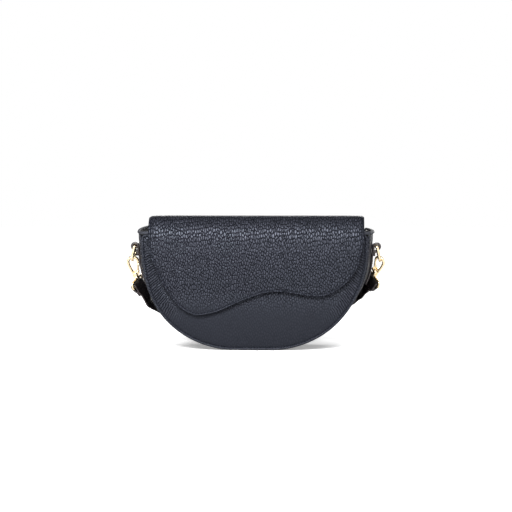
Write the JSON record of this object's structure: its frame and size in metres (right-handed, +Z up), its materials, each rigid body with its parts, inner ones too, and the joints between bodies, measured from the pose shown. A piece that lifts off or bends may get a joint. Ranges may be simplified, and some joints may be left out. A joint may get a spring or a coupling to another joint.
{
  "type": "shoulder bag",
  "caption": "Half-moon shoulder bag with a wavy-edged fold-over flap, a bowed gusset, side tabs with D-rings, snap hooks and a narrow shoulder strap.",
  "frame": {"origin": "middle of the flat stretch under the gusset that the bag stands on", "axes": "+Z up through the mouth, -Y towards the front with the flap's wavy edge, +X to the right seen from the front"},
  "size_m": [0.2724, 0.1652, 0.1382],
  "materials": {
    "navy_leather": "pebbled navy leather with painted edges, satin sheen",
    "black_lining": "black woven lining, matte",
    "black_leather": "smooth black strap leather",
    "light_gold": "light gold plate, polished",
    "nickel": "nickel plate, satin"
  },
  "bodies": {
    "bag_body": {"front_panel": "navy_leather", "back_panel": "navy_leather", "gusset": "navy_leather", "front_lining": "black_lining", "back_lining": "black_lining", "gusset_lining": "black_lining", "slip_pocket": "black_lining", "front_rim_binding": "navy_leather", "left_rim_binding": "navy_leather", "right_rim_binding": "navy_leather", "flap_tail": "navy_leather", "snap_socket": "nickel", "snap_socket_plate": "nickel", "left_tab": "black_leather", "right_tab": "black_leather", "strap": "black_leather"},
    "flap_body": {"flap": "navy_leather", "flap_lining": "black_lining", "snap_stud": "nickel", "snap_stud_plate": "nickel"},
    "left_hanger": {"left_ring": "light_gold", "left_strap_ring": "light_gold", "left_strap_end": "black_leather"},
    "left_hook_body": {"left_hook": "light_gold", "left_gate_pin": "light_gold", "left_gate_spring": "nickel"},
    "left_gate_body": {"left_gate": "light_gold"},
    "right_hanger": {"right_ring": "light_gold", "right_strap_ring": "light_gold", "right_strap_end": "black_leather"},
    "right_hook_body": {"right_hook": "light_gold", "right_gate_pin": "light_gold", "right_gate_spring": "nickel"},
    "right_gate_body": {"right_gate": "light_gold"}
  },
  "joints": [
    {"name": "flap_hinge", "type": "hinge", "parent": "bag_body", "child": "flap_body", "pos_m": [0, 0.0343, 0.127], "axis": [-1, 0, 0], "range_deg": [0, 100]},
    {"name": "left_ring_swing", "type": "hinge", "parent": "bag_body", "child": "left_hanger", "pos_m": [-0.12666, 0, 0.1065], "axis": [0, 1, 0], "range_deg": [0, 9]},
    {"name": "left_hook_turn", "type": "hinge", "parent": "left_hanger", "child": "left_hook_body", "pos_m": [-0.12742, 0.00695, 0.07241], "axis": [-0.1386, -0.3387, 0.9306], "range_deg": [-26, 22]},
    {"name": "left_gate_hinge", "type": "hinge", "parent": "left_hook_body", "child": "left_gate_body", "pos_m": [-0.12541, 0.00481, 0.07945], "axis": [0.1318, -0.9376, -0.3216], "range_deg": [0, 22], "stiffness_Nm_per_rad": 0.002, "deforming": ["left_gate_spring"]},
    {"name": "right_ring_swing", "type": "hinge", "parent": "bag_body", "child": "right_hanger", "pos_m": [0.12666, 0, 0.1065], "axis": [0, -1, 0], "range_deg": [0, 9]},
    {"name": "right_hook_turn", "type": "hinge", "parent": "right_hanger", "child": "right_hook_body", "pos_m": [0.12634, 0.01154, 0.07562], "axis": [0.1961, -0.5764, 0.7933], "range_deg": [0, 36]},
    {"name": "right_gate_hinge", "type": "hinge", "parent": "right_hook_body", "child": "right_gate_body", "pos_m": [0.12516, 0.00847, 0.08251], "axis": [0.5072, 0.752, 0.421], "range_deg": [0, 22], "stiffness_Nm_per_rad": 0.002, "deforming": ["right_gate_spring"]}
  ]
}
